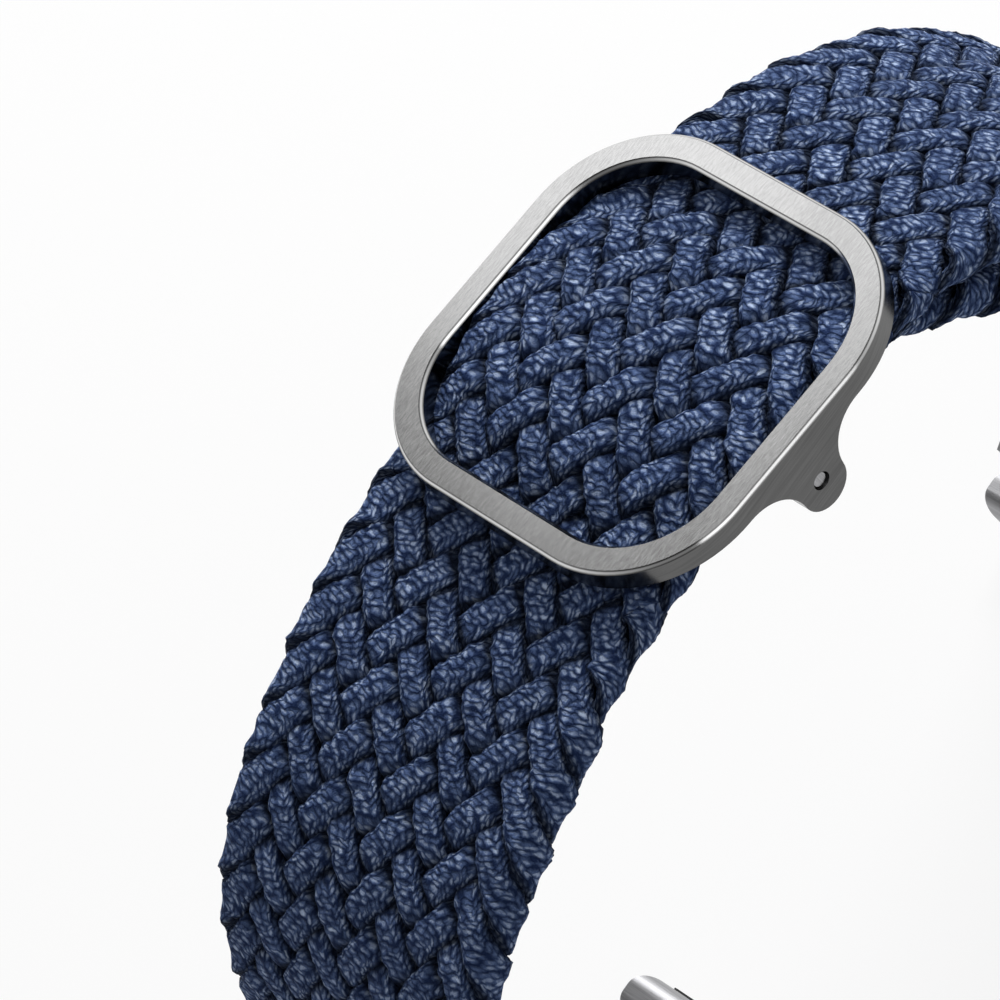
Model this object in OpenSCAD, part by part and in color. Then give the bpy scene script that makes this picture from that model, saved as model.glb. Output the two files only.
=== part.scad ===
// Woven watch strap: a braided band in one loop, a slide buckle and two lug adapters.
// Millimetres, +Z up. The loop lies in the XZ plane and Y runs across the band.
// The origin is on the surface that the adapters stand on, under the middle of the loop.
// Adapter A, where the band is sewn, is at -X. Adapter B, where the band turns back, is at +X.

/* [Band] */
// Width of the braided band
band_w = 22; // [19:0.5:24]
// Thickness of the free band
band_t = 2.8; // [2.4:0.1:3]
// Thickness of the band where the buckle presses it
pressed_t = 1.8; // [1.6:0.1:2]
// Gap between two layers of the band
layer_gap = 0.1; // [0.05:0.01:0.2]
// Thickness of the pressed end that is folded round the cross pin
tail_t = 0.45; // [0.4:0.05:0.55]
// Width of the pressed end
tail_w = 20; // [17:0.5:21]
// Length of the pressed end from the cross pin to its seam
tail_l = 6.8; // [5.5:0.1:8]
// Length of the sewn overlap at adapter A
sewn_l = 9; // [6:0.5:14]

/* [Loop] */
// Width of the loop, over its outer face
loop_w = 74.5; // [70:0.5:80]
// Height of the loop's outer face above the floor
loop_h = 53.2; // [50:0.2:58]
// Radius of the top arc, over its outer face
top_r = 56.7; // [52:0.1:62]
// Radius of the two side arcs, over their outer face
side_r = 22; // [20:0.5:24]
// Distance between the two adapter bars
bar_span = 51; // [46:0.5:54]
// Offset of the watch gap's middle from the loop's middle
gap_shift = -1.7; // [-3:0.1:3]

/* [Buckle] */
// Length of the ring along the band
ring_l = 25.8; // [24:0.1:30]
// Width of the ring across the band
ring_w = 26.7; // [26:0.1:30]
// Width of the ring's bars
ring_bar = 1.9; // [1.5:0.1:2.4]
// Thickness of the ring
ring_t = 1.6; // [1.2:0.1:2]
// Outer corner radius of the ring
ring_r = 8.1; // [6:0.1:10]
// Bevel on the ring's top edges
ring_bevel = 0.22; // [0.1:0.02:0.4]
// Depth of the cross pin's axis below the ring's top face
pin_depth = 4.05; // [3.8:0.05:4.6]
// Radius of the cross pin
pin_r = 0.55; // [0.45:0.05:0.7]
// Thickness of the ears that hold the cross pin
ear_t = 1.2; // [0.9:0.1:1.5]
// Radius of the ear's rounded tip
ear_tip_r = 1.65; // [1.4:0.05:2]
// Distance from the cross pin down to the middle of the rounded tip
ear_tip_drop = 0.45; // [0:0.05:0.6]
// Radius of the fillets between ear and ring
ear_fillet_r = 3; // [2:0.1:4]
// Angle of the buckle's middle from the top of the loop, towards adapter B
buckle_a = 6; // [0:0.5:7]
// Travel of the buckle towards adapter A, in degrees about the top arc
slide_back = 14; // [4:1:14]
// Travel of the buckle towards adapter B, in degrees about the top arc
slide_forward = 6; // [1:1:7]

/* [Adapter] */
// Width of the slide, front to back in the slot
slide_w = 3.2; // [2.8:0.1:3.6]
// Height of the slide
slide_h = 4.4; // [4:0.1:5]
// Edge rounding of the slide
slide_edge = 1.2; // [0.8:0.1:1.4]
// Corner radius of the slide's ends
slide_end_r = 1.4; // [0.8:0.1:1.5]
// Distance from the slide's middle out to the bar
bar_out = 6; // [5.8:0.1:7]
// Height of the bar above the slide's middle
bar_up = 3.6; // [3:0.1:4.2]
// Radius of the bar
bar_r = 0.75; // [0.6:0.05:0.9]
// Gap between the bar and the band round it
bar_gap = 0.1; // [0.05:0.01:0.2]
// Thickness of the end ears
lug_t = 1; // [0.8:0.1:1.4]
// Gap between the band's edge and an end ear
lug_gap = 0.2; // [0.15:0.05:0.5]
// Radius of the end ear's tip
lug_tip_r = 2; // [1.7:0.1:2.4]
// Height of the neck between slide and ears
neck_h = 2.4; // [1.8:0.1:2.8]
// Radius of the bar screws' heads
screw_head_r = 1.1; // [0.9:0.05:1.3]
// Radius of the bar screws' shanks
screw_shank_r = 0.4; // [0.3:0.05:0.45]

/* [Latch] */
// Length of the latch button
latch_l = 4.2; // [3.4:0.1:5]
// Height of the latch button
latch_h = 1.6; // [1.3:0.1:1.8]
// How far the latch button stands out of the slide
latch_out = 0.6; // [0.4:0.05:0.8]
// Flange round the foot of the button
latch_flange = 0.3; // [0.2:0.05:0.4]
// Length of the cover plate
cover_l = 9.6; // [9:0.1:12]
// Thickness of the cover plate
cover_t = 0.34; // [0.3:0.02:0.5]
// Room behind the flange for the spring
spring_room = 1.3; // [1.2:0.1:1.5]
// Radius of the spring's coil
spring_r = 0.6; // [0.5:0.05:0.75]
// Radius of the spring's wire
wire_r = 0.08; // [0.06:0.01:0.08]
// Number of turns in the spring
spring_turns = 3; // [2:1:3]
// Distance of a soft pad from the slide's middle
pad_y = 8.8; // [7.8:0.1:9.2]
// Length of a soft pad
pad_l = 3.4; // [2:0.1:3.6]
// Height of a soft pad
pad_h = 1.6; // [1.2:0.1:2]
// How far a soft pad stands out of the slide
pad_out = 0.15; // [0.1:0.05:0.3]

/* [Sewing] */
// Radius of the sewing thread
thread_r = 0.18; // [0.12:0.02:0.25]
// Length of one stitch
stitch_l = 1.5; // [1:0.1:2]
// Pitch of the stitches
stitch_pitch = 2.2; // [2.1:0.1:3]

/* [Hidden] */

NAVY = [0.15, 0.2, 0.36];
THREAD = [0.09, 0.12, 0.24];
STEEL = [0.72, 0.72, 0.73];
BRIGHT = [0.82, 0.82, 0.84];
SOFT = [0.12, 0.12, 0.13];

// Clearance between pieces that are fixed together
fit = 0.02;
// Running clearance of a pin, a latch or a screw shank in its hole
run = 0.03;
// Depth that the screw heads are sunk below the face
sink = 0.05;
// Part of a cut that runs past the face it opens
over = 0.5;
// Angle over which the band swells again beside the pressed stretch
blend_a = 5;
// Angle of the pressed stretch beyond the cross pin's last place
press_lead = 3;
// Points on each rounded edge of the band
edge_steps = 6;
// Length of a curved stretch between two cross-sections of the band
step_l = 2;

// Loop: one top arc between two side arcs, each with the same tangent where they meet
side_x = loop_w / 2 - side_r;
top_z = loop_h - top_r;
side_z = top_z + sqrt(pow(top_r - side_r, 2) - side_x * side_x);
join_a = atan2(side_x, side_z - top_z);
slide_z = slide_h / 2;
bar_z = slide_z + bar_up;
bar_b_x = bar_span / 2 + gap_shift;
bar_a_x = bar_span / 2 - gap_shift;

// Band: the middle of its thickness on each curved stretch
outer_mid = side_r - band_t / 2;
inner_mid = side_r - band_t - layer_gap - band_t / 2;
wrap_mid = bar_r + bar_gap + band_t / 2;

// Buckle: the band lies on the folded end, and that lies on the pin
tail_gap = layer_gap / 2;
pin_path_r = top_r - pressed_t - tail_gap - tail_t - run - pin_r;
rise = pin_path_r + pin_depth - top_r;
tail_wrap = pin_r + run + tail_t / 2;
tail_mid = pin_path_r + tail_wrap;
tail_a = tail_l / tail_mid * 180 / PI;
seam_t = 2 * tail_t + layer_gap;
return_a = buckle_a + tail_a + layer_gap / tail_mid * 180 / PI;
press_from = buckle_a - slide_back - press_lead;
press_to = join_a - blend_a;

// Adapter, from the bar's axis
slide_x = -bar_out;
slide_back_x = slide_x - slide_w / 2;
slide_front_x = slide_x + slide_w / 2;
lug_in_y = band_w / 2 + lug_gap;
lug_out_y = lug_in_y + lug_t;
lug_base_x = slide_front_x + 0.2;
neck_t = 0.8;
head_t = lug_t * 0.42;
flange_t = 0.4;
flange_l = latch_l + 2 * latch_flange;
flange_h = latch_h + 2 * latch_flange;
cover_h = flange_h + 0.5;
plate_in_x = slide_back_x + sink + cover_t;
pocket_x = plate_in_x + flange_t + spring_room;
cover_screw_y = (flange_l + cover_l) / 4;
cover_head_r = 0.6;
cover_shank_r = 0.32;
cover_shank_l = 1.3;
pad_depth = 0.7;

// Paths in the XZ plane. A station is [x, z, normal x, normal z, thickness].
function unit(a) = [cos(a), sin(a)];
function station(p, n, t) = [p[0], p[1], n[0], n[1], t];
function steps(r, a) = max(3, ceil(abs(a) / 180 * PI * r / step_l));
function arc(c, r, from, to, side, t, n) =
    [for (i = [0:n]) let (a = from + (to - from) * i / n) station(c + r * unit(a), side * unit(a), t)];
function smooth(s) = let (c = min(1, max(0, s))) c * c * (3 - 2 * c);
function mirrored(list) =
    [for (i = [len(list) - 1:-1:0]) let (s = list[i]) [-s[0], s[1], -s[2], s[3], s[4]]];
function tail_end(list) = [for (i = [1:len(list) - 1]) list[i]];

// Thickness of the outer layer at angle a, measured from the top towards adapter B
function layer_t(a) =
    pressed_t + (band_t - pressed_t) * smooth(max(press_from - a, a - press_to) / blend_a);

// Directions at which the outer and the inner layer leave the side arc for the bar
function to_bar(bar_x) = [bar_x - side_x, bar_z - side_z];
function bearing(bar_x) = atan2(to_bar(bar_x)[1], to_bar(bar_x)[0]);
function outer_leg_a(bar_x) = bearing(bar_x) + acos((outer_mid - wrap_mid) / norm(to_bar(bar_x)));
function inner_leg_a(bar_x) = bearing(bar_x) + acos((inner_mid + wrap_mid) / norm(to_bar(bar_x)));

// Outer layer on one side: down the side arc, straight to the bar and round it
function side_run(bar_x) =
    let (out_a = outer_leg_a(bar_x), in_a = inner_leg_a(bar_x), c = [side_x, side_z])
    concat(
        tail_end(arc(c, outer_mid, 90 - join_a, out_a, 1, band_t,
            steps(outer_mid, 90 - join_a - out_a))),
        arc([bar_x, bar_z], wrap_mid, out_a, in_a - 180, 1, band_t, 12));

// Inner layer on one side: straight up from the bar and along the side arc to angle to_a
function inner_run(bar_x, to_a) =
    let (in_a = inner_leg_a(bar_x), c = [side_x, side_z])
    concat([station([bar_x, bar_z] - wrap_mid * unit(in_a), -unit(in_a), band_t)],
        arc(c, inner_mid, in_a, to_a, -1, band_t, steps(inner_mid, to_a - in_a)));

function top_run() = let (n = steps(top_r, 2 * join_a))
    [for (i = [0:n]) let (a = join_a * (2 * i / n - 1), t = layer_t(a))
        station([0, top_z] + (top_r - t / 2) * unit(90 - a), unit(90 - a), t)];

function return_t(a) = seam_t + (band_t - seam_t) * smooth((a - return_a) / (join_a - return_a));
function return_top() = let (n = steps(top_r, join_a - return_a))
    [for (i = [1:n]) let (a = join_a + (return_a - join_a) * i / n, t = return_t(a))
        station([0, top_z] + (top_r - layer_t(a) - layer_gap - t / 2) * unit(90 - a), -unit(90 - a), t)];

// The folded end: lower leaf, round the pin, upper leaf
function tail_run() =
    let (pin = [0, top_z] + pin_path_r * unit(90 - buckle_a),
        seam = [0, top_z] + (tail_mid - tail_t - tail_gap) * unit(90 - buckle_a - tail_a),
        d = seam - pin,
        touch_a = atan2(d[1], d[0]) - acos(tail_wrap / norm(d)),
        n = 12)
    concat([station(seam, unit(touch_a), tail_t)],
        arc(pin, tail_wrap, touch_a, 90 - buckle_a - 360, 1, tail_t, n),
        tail_end(arc([0, top_z], tail_mid, 90 - buckle_a, 90 - buckle_a - tail_a, 1, tail_t, 4)));

// A band of width w along a list of stations, with fully rounded edges
module band(list, w) {
    n = 2 * edge_steps;
    function ring_point(s, j) =
        let (half = j < edge_steps ? 1 : -1,
            k = j < edge_steps ? j : n - 1 - j,
            a = -90 + 180 * k / (edge_steps - 1),
            y = half * (w / 2 - s[4] / 2 + s[4] / 2 * cos(a)),
            h = s[4] / 2 * sin(a))
        [s[0] + s[2] * h, y, s[1] + s[3] * h];
    m = len(list);
    points = [for (s = list) for (j = [0:n - 1]) ring_point(s, j)];
    sides = [for (i = [0:m - 2]) for (j = [0:n - 1])
        let (k = (j + 1) % n, p = i * n, q = p + n)
        for (f = [[p + j, q + j, q + k], [p + j, q + k, p + k]]) f];
    first = [[for (j = [0:n - 1]) j]];
    last = [[for (j = [n - 1:-1:0]) (m - 1) * n + j]];
    polyhedron(points, concat(sides, first, last), 6);
}

module strap_main() {
    sewn_a = inner_leg_a(bar_a_x) + sewn_l / inner_mid * 180 / PI;
    list = concat(
        mirrored(concat(side_run(bar_a_x), tail_end(inner_run(bar_a_x, sewn_a)))),
        top_run(),
        side_run(bar_b_x));
    color(NAVY) band(list, band_w);
}

module strap_return() {
    color(NAVY) band(concat(inner_run(bar_b_x, 90 - join_a), return_top()), band_w);
}

module strap_tail() {
    color(NAVY) band(tail_run(), tail_w);
}

// One row of stitches across a width w, each along Y
module stitch_row(w) {
    n = floor((w - stitch_l) / stitch_pitch);
    for (i = [0:n])
        translate([0, (i - n / 2) * stitch_pitch, 0]) rotate([90, 0, 0])
            cylinder(h = stitch_l, r = thread_r, center = true, $fn = 16);
}

// Two rows on the inner face of the sewn overlap at adapter A
module stitching_end() {
    face_r = inner_mid - band_t / 2;
    color(THREAD) for (k = [0.3, 0.7]) {
        a = inner_leg_a(bar_a_x) + k * sewn_l / inner_mid * 180 / PI;
        p = [side_x, side_z] + face_r * unit(a);
        translate([-p[0], 0, p[1]]) stitch_row(band_w - band_t);
    }
}

// One row on the lower leaf of the folded end
module stitching_tail() {
    a = buckle_a + tail_a * 0.82;
    face_r = tail_mid - tail_t - tail_gap - tail_t / 2 - tail_gap;
    color(THREAD) translate([0, 0, top_z]) rotate([0, a, 0]) translate([0, 0, face_r])
        stitch_row(tail_w - tail_t);
}

// Places children in the buckle's frame: the middle of the ring's top face
module at_buckle() {
    translate([0, 0, top_z]) rotate([0, buckle_a, 0]) translate([0, 0, top_r + rise]) children();
}

// A plate l by w with round corners of radius r from z = 0 to h. Its top edge is cut back by
// bevel, or flares out by it where bevel is negative.
module plate(l, w, r, h, bevel) {
    b = abs(bevel);
    for (x = [-1, 1], y = [-1, 1]) translate([x * (l / 2 - r), y * (w / 2 - r), 0]) {
        cylinder(h = h - b, r = r, $fn = 64);
        translate([0, 0, h - b]) cylinder(h = b, r1 = r, r2 = r - bevel, $fn = 64);
    }
    rotate([90, 0, 90]) linear_extrude(height = l - 2 * r, center = true)
        polygon([[-w / 2, 0], [w / 2, 0], [w / 2, h - b], [w / 2 - bevel, h],
            [-w / 2 + bevel, h], [-w / 2, h - b]]);
    rotate([90, 0, 0]) linear_extrude(height = w - 2 * r, center = true)
        polygon([[-l / 2, 0], [l / 2, 0], [l / 2, h - b], [l / 2 - bevel, h],
            [-l / 2 + bevel, h], [-l / 2, h - b]]);
}

// Outline of a buckle ear in the XZ plane, hanging from the ring's underside
module ear_outline() {
    tip_z = -pin_depth - ear_tip_drop;
    fillet_z = -ring_t - ear_fillet_r;
    reach = sqrt(pow(ear_fillet_r + ear_tip_r, 2) - pow(tip_z - fillet_z, 2));
    difference() {
        translate([-reach, tip_z]) square([2 * reach, -tip_z - ring_t + ring_bevel]);
        for (x = [-1, 1]) translate([x * reach, fillet_z]) circle(r = ear_fillet_r, $fn = 96);
        for (x = [-1, 1]) translate([x * (reach + ear_tip_r), tip_z - over])
            square([2 * reach, fillet_z - tip_z + 2 * over], center = true);
    }
    translate([0, tip_z]) circle(r = ear_tip_r, $fn = 64);
}

module buckle_ring() {
    color(STEEL) at_buckle() difference() {
        union() {
            translate([0, 0, -ring_t]) difference() {
                plate(ring_l, ring_w, ring_r, ring_t, ring_bevel);
                translate([0, 0, -over])
                    plate(ring_l - 2 * ring_bar, ring_w - 2 * ring_bar, ring_r - ring_bar, ring_t, 0);
                translate([0, 0, ring_t - 2 * over])
                    plate(ring_l - 2 * ring_bar, ring_w - 2 * ring_bar, ring_r - ring_bar,
                        2 * over, -ring_bevel);
            }
            for (y = [-1, 1]) translate([0, y * (ring_w - ear_t) / 2, 0]) rotate([90, 0, 0])
                linear_extrude(height = ear_t, center = true) ear_outline();
        }
        translate([0, 0, -pin_depth]) rotate([90, 0, 0])
            cylinder(h = ring_w + 2 * over, r = pin_r + run, center = true, $fn = 48);
    }
}

// The pin ends a little below the ears' faces, with a small bevel on each end
module cross_pin() {
    bevel = pin_r * 0.2;
    half = ring_w / 2 - ear_t * 0.15;
    color(BRIGHT) at_buckle() translate([0, 0, -pin_depth]) rotate([90, 0, 0]) rotate_extrude($fn = 48)
        polygon([[0, -half], [pin_r - bevel, -half], [pin_r, -half + bevel], [pin_r, half - bevel],
            [pin_r - bevel, half], [0, half]]);
}

// Places children in an adapter's frame: the bar's axis, with the slide towards -X.
// Side 1 is adapter B and side -1 is adapter A.
module at_adapter(side) {
    x = side > 0 ? bar_b_x : bar_a_x;
    mirror([side > 0 ? 0 : 1, 0, 0]) translate([x, 0, bar_z]) children();
}

// A block with round ends, long along Y, from x = from to x = to
module stadium(l, h, from, to) {
    translate([from, -(l - h) / 2, -h / 2]) cube([to - from, l - h, h]);
    for (y = [-1, 1]) translate([from, y * (l - h) / 2, 0]) rotate([0, 90, 0])
        cylinder(h = to - from, r = h / 2, $fn = 40);
}

module slide_outline() {
    square([slide_w, slide_h - 2 * slide_edge], center = true);
    square([slide_w - 2 * slide_edge, slide_h], center = true);
    for (x = [-1, 1], z = [-1, 1])
        translate([x * (slide_w / 2 - slide_edge), z * (slide_h / 2 - slide_edge)])
            circle(r = slide_edge, $fn = 48);
}

// The slide with its ends rounded in plan
module slide() {
    l = 2 * lug_out_y;
    intersection() {
        rotate([90, 0, 0]) linear_extrude(height = l, center = true) slide_outline();
        translate([0, 0, -slide_h]) linear_extrude(height = 2 * slide_h) {
            square([slide_w, l - 2 * slide_end_r], center = true);
            square([slide_w - 2 * slide_end_r, l], center = true);
            for (x = [-1, 1], y = [-1, 1])
                translate([x * (slide_w / 2 - slide_end_r), y * (l / 2 - slide_end_r)])
                    circle(r = slide_end_r, $fn = 48);
        }
    }
}

// Outline of an end ear: a triangle whose sides run tangent to the round tip
module lug_outline() {
    function tangent(p, side) = let (a = atan2(p[1], p[0]), b = acos(lug_tip_r / norm(p)))
        lug_tip_r * unit(a - side * b);
    high = [lug_base_x, 0.1];
    low = [lug_base_x, -bar_up - neck_h / 2 - 0.2];
    polygon([high, tangent(high, 1), [0, 0], tangent(low, -1), low]);
    circle(r = lug_tip_r, $fn = 64);
}

module adapter_body(side) {
    color(STEEL) at_adapter(side) difference() {
        union() {
            translate([slide_x, 0, -bar_up]) slide();
            translate([slide_front_x - slide_edge, -lug_out_y + slide_end_r, -bar_up - neck_h / 2])
                cube([slide_edge + neck_t + lug_base_x - slide_front_x,
                    2 * (lug_out_y - slide_end_r), neck_h]);
            for (y = [-1, 1]) translate([0, y * (lug_in_y + lug_out_y) / 2, 0]) rotate([90, 0, 0])
                linear_extrude(height = lug_t, center = true) {
                    lug_outline();
                    translate([slide_front_x - slide_edge, -bar_up - neck_h / 2])
                        square([slide_edge + neck_t + lug_base_x - slide_front_x, neck_h]);
                }
        }
        rotate([90, 0, 0]) cylinder(h = 2 * lug_out_y + over, r = bar_r + fit, center = true, $fn = 48);
        for (y = [-1, 1]) translate([0, y * (lug_out_y - (head_t + sink - over) / 2), 0])
            rotate([90, 0, 0])
                cylinder(h = head_t + sink + over, r = screw_head_r + fit, center = true, $fn = 48);
        translate([0, 0, -bar_up]) {
            stadium(cover_l + 2 * fit, cover_h + 2 * fit, slide_back_x - over, plate_in_x + fit);
            stadium(flange_l + 2 * run, flange_h + 2 * run, slide_back_x - over, pocket_x);
            for (y = [-1, 1]) translate([plate_in_x, y * cover_screw_y, 0]) rotate([0, 90, 0])
                cylinder(h = cover_shank_l, r = cover_shank_r + fit, $fn = 32);
            for (y = [-1, 1]) translate([0, y * pad_y, 0])
                stadium(pad_l + 2 * fit, pad_h + 2 * fit, slide_back_x - over,
                    slide_back_x + pad_depth);
        }
    }
}

// The bar, drilled at both ends for its screws
module adapter_bar(side) {
    l = 2 * (lug_out_y - head_t - sink - fit);
    color(BRIGHT) at_adapter(side) rotate([90, 0, 0]) difference() {
        cylinder(h = l, r = bar_r, center = true, $fn = 48);
        for (z = [-1, 1]) translate([0, 0, z * l / 2])
            cylinder(h = 2 * (lug_t * 2 + fit), r = screw_shank_r + fit, center = true, $fn = 32);
    }
}

// A screw with its head's top at z = 0 and its shank towards -Z
module slotted_screw(head_r, head_h, shank_r, shank_l) {
    slot_w = head_r * 0.3;
    slot_d = head_h * 0.45;
    difference() {
        union() {
            translate([0, 0, -head_h]) cylinder(h = head_h, r = head_r, $fn = 40);
            translate([0, 0, -head_h - shank_l]) cylinder(h = shank_l, r = shank_r, $fn = 32);
        }
        translate([-head_r - fit, -slot_w / 2, -slot_d]) cube([2 * head_r + 2 * fit, slot_w, head_h]);
    }
}

module adapter_screws(side) {
    color(BRIGHT) at_adapter(side) for (y = [-1, 1])
        translate([0, y * (lug_out_y - sink), 0]) rotate([-90 * y, 0, 0])
            slotted_screw(screw_head_r, head_t, screw_shank_r, lug_t * 2);
}

// The button stands through the cover plate, and its flange stays behind it
module adapter_latch(side) {
    color(BRIGHT) at_adapter(side) translate([0, 0, -bar_up]) {
        stadium(latch_l, latch_h, slide_back_x - latch_out, plate_in_x + flange_t);
        stadium(flange_l, flange_h, plate_in_x + 2 * fit, plate_in_x + flange_t);
    }
}

// A coil spring between the flange and the bottom of the pocket, ends touching neither
module adapter_spring(side) {
    per_turn = 12;
    sides = 6;
    n = spring_turns * per_turn;
    h = spring_room - 2 * wire_r - 4 * fit;
    function coil_point(i, j) =
        let (a = 360 * i / per_turn, b = 360 * j / sides, r = spring_r + wire_r * cos(b))
        [wire_r * sin(b) + h * i / n, r * cos(a), r * sin(a)];
    points = [for (i = [0:n]) for (j = [0:sides - 1]) coil_point(i, j)];
    walls = [for (i = [0:n - 1]) for (j = [0:sides - 1])
        let (k = (j + 1) % sides, p = i * sides, q = p + sides)
        for (f = [[p + j, q + k, q + j], [p + j, p + k, q + k]]) f];
    first = [[for (j = [sides - 1:-1:0]) j]];
    last = [[for (j = [0:sides - 1]) n * sides + j]];
    color(BRIGHT) at_adapter(side)
        translate([plate_in_x + flange_t + wire_r + 2 * fit, 0, -bar_up])
            polyhedron(points, concat(walls, first, last), 4);
}

module adapter_cover(side) {
    color(STEEL) at_adapter(side) translate([0, 0, -bar_up]) difference() {
        stadium(cover_l, cover_h, slide_back_x + sink, plate_in_x);
        stadium(latch_l + 2 * run, latch_h + 2 * run, slide_back_x - over, plate_in_x + over);
        for (y = [-1, 1]) translate([slide_back_x, y * cover_screw_y, 0]) rotate([0, 90, 0]) {
            cylinder(h = 2 * cover_t, r = cover_shank_r + fit, $fn = 32);
            cylinder(h = sink + cover_t / 2, r = cover_head_r + fit, $fn = 32);
        }
    }
}

module adapter_cover_screws(side) {
    color(BRIGHT) at_adapter(side) translate([0, 0, -bar_up]) for (y = [-1, 1])
        translate([slide_back_x + sink + fit, y * cover_screw_y, 0]) rotate([0, -90, 0])
            slotted_screw(cover_head_r, cover_t / 2 - 2 * fit, cover_shank_r, cover_shank_l);
}

module adapter_pads(side) {
    color(SOFT) at_adapter(side) translate([0, 0, -bar_up]) for (y = [-1, 1])
        translate([0, y * pad_y, 0])
            stadium(pad_l, pad_h, slide_back_x - pad_out, slide_back_x + pad_depth - fit);
}

strap_main();
strap_return();
strap_tail();
stitching_end();
stitching_tail();
buckle_ring();
cross_pin();
adapter_body(-1);  // adapter_a_body
adapter_bar(-1);  // adapter_a_bar
adapter_screws(-1);  // adapter_a_screws
adapter_latch(-1);  // adapter_a_latch
adapter_spring(-1);  // adapter_a_spring
adapter_cover(-1);  // adapter_a_cover
adapter_cover_screws(-1);  // adapter_a_cover_screws
adapter_pads(-1);  // adapter_a_pads
adapter_body(1);  // adapter_b_body
adapter_bar(1);  // adapter_b_bar
adapter_screws(1);  // adapter_b_screws
adapter_latch(1);  // adapter_b_latch
adapter_spring(1);  // adapter_b_spring
adapter_cover(1);  // adapter_b_cover
adapter_cover_screws(1);  // adapter_b_cover_screws
adapter_pads(1);  // adapter_b_pads
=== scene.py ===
import bpy
import math
import numpy as np
from mathutils import Matrix, Quaternion, Vector


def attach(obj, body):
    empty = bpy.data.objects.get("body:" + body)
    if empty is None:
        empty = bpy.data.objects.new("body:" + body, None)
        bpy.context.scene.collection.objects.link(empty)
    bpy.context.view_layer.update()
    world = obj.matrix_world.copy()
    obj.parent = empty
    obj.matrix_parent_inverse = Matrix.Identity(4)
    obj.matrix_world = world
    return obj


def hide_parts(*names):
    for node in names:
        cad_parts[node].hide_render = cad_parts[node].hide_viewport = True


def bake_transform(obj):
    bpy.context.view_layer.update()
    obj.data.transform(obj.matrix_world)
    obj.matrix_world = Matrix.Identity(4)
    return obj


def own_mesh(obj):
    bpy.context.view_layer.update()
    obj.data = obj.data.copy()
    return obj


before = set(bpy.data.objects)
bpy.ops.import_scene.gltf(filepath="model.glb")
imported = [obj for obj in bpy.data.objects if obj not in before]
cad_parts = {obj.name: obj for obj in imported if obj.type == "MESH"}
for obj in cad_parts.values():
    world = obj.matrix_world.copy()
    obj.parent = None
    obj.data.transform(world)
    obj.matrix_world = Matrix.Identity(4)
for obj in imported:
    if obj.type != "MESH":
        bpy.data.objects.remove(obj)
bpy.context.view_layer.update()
MM = 0.001

# ---------------------------------------------------------------- camera
# the photograph's own camera, fitted to its perspective: focal length in pixels of a 1000-pixel
# frame, place in metres, and the directions that lie right, down and ahead in the picture
FRAME_PX = 1000
FOCAL_PX = 7390.7
CAMERA_AT = (-0.042202, -0.269641, 0.369126)
RIGHT = (0.588556, -0.645671, -0.486529)
DOWN = (-0.803601, -0.401371, -0.439462)
AHEAD = (0.088469, 0.649623, -0.755091)
SENSOR_MM = 36

camera_data = bpy.data.cameras.new("camera")
camera_data.sensor_width = SENSOR_MM
camera_data.lens = FOCAL_PX / FRAME_PX * SENSOR_MM
camera_data.clip_start, camera_data.clip_end = 0.01, 20
camera = bpy.data.objects.new("camera", camera_data)
bpy.context.scene.collection.objects.link(camera)
axes = Matrix((RIGHT, [-c for c in DOWN], [-c for c in AHEAD])).transposed()
camera.matrix_world = Matrix.Translation(CAMERA_AT) @ axes.to_4x4()
bpy.context.scene.camera = camera


# ---------------------------------------------------------------- band path, in millimetres and degrees
# the same sizes as the CAD band's: its width, its thickness where it is loose, under the buckle
# and at its folded end, and the gap between two layers
BAND_W, BAND_T, PRESSED_T, TAIL_T, GAP = 22.0, 2.8, 1.8, 0.45, 0.1
# the folded end's width and length, and the length that is sewn at adapter A
TAIL_W, TAIL_L, SEWN_L = 20.0, 6.8, 9.0
# the loop's width and height over its outer face, the radii of its top and its sides, the span of
# the two bars and how far their middle is off the loop's
LOOP_W, LOOP_H, TOP_R, SIDE_R, BAR_SPAN, GAP_SHIFT = 74.5, 53.2, 56.7, 22.0, 51.0, -1.7
# the cross pin and its clearance, the buckle's place from the top and how far it slides back
PIN_R, RUN, BUCKLE_A, SLIDE_BACK = 0.55, 0.03, 6.0, 14.0
# a bar, the gap between it and the band, and its height
BAR_R, BAR_GAP, BAR_Z = 0.75, 0.1, 5.8
# how far past the slide the band stays pressed, and over what angle it swells again
PRESS_SPARE_A, PRESS_EASE_A = 3, 5
# the steps between stations on long arcs, round the bars and round the pin, and the numbers of
# stations over the top and where the return thins
ARC_STEP, WRAP_STEP, FOLD_STEP = 0.4, 0.15, 0.1
TOP_STATIONS, THINNING_STATIONS = 121, 40

side_x = LOOP_W / 2 - SIDE_R
top_z = LOOP_H - TOP_R
side_z = top_z + math.sqrt((TOP_R - SIDE_R) ** 2 - side_x**2)
top_centre, side_centre = np.array([0, top_z]), np.array([side_x, side_z])
join_a = math.degrees(math.atan2(side_x, side_z - top_z))
outer_mid = SIDE_R - BAND_T / 2
inner_mid = SIDE_R - BAND_T * 1.5 - GAP
wrap_mid = BAR_R + BAR_GAP + BAND_T / 2
bar_b_x, bar_a_x = BAR_SPAN / 2 + GAP_SHIFT, BAR_SPAN / 2 - GAP_SHIFT
pin_path_r = TOP_R - PRESSED_T - GAP / 2 - TAIL_T - RUN - PIN_R
tail_wrap = PIN_R + RUN + TAIL_T / 2
tail_mid = pin_path_r + tail_wrap
tail_a = math.degrees(TAIL_L / tail_mid)
seam_t = 2 * TAIL_T + GAP
buckle_bearing = 90 - BUCKLE_A
return_a = BUCKLE_A + tail_a + math.degrees(GAP / tail_mid)
press_from, press_to = BUCKLE_A - SLIDE_BACK - PRESS_SPARE_A, join_a - PRESS_EASE_A


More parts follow.
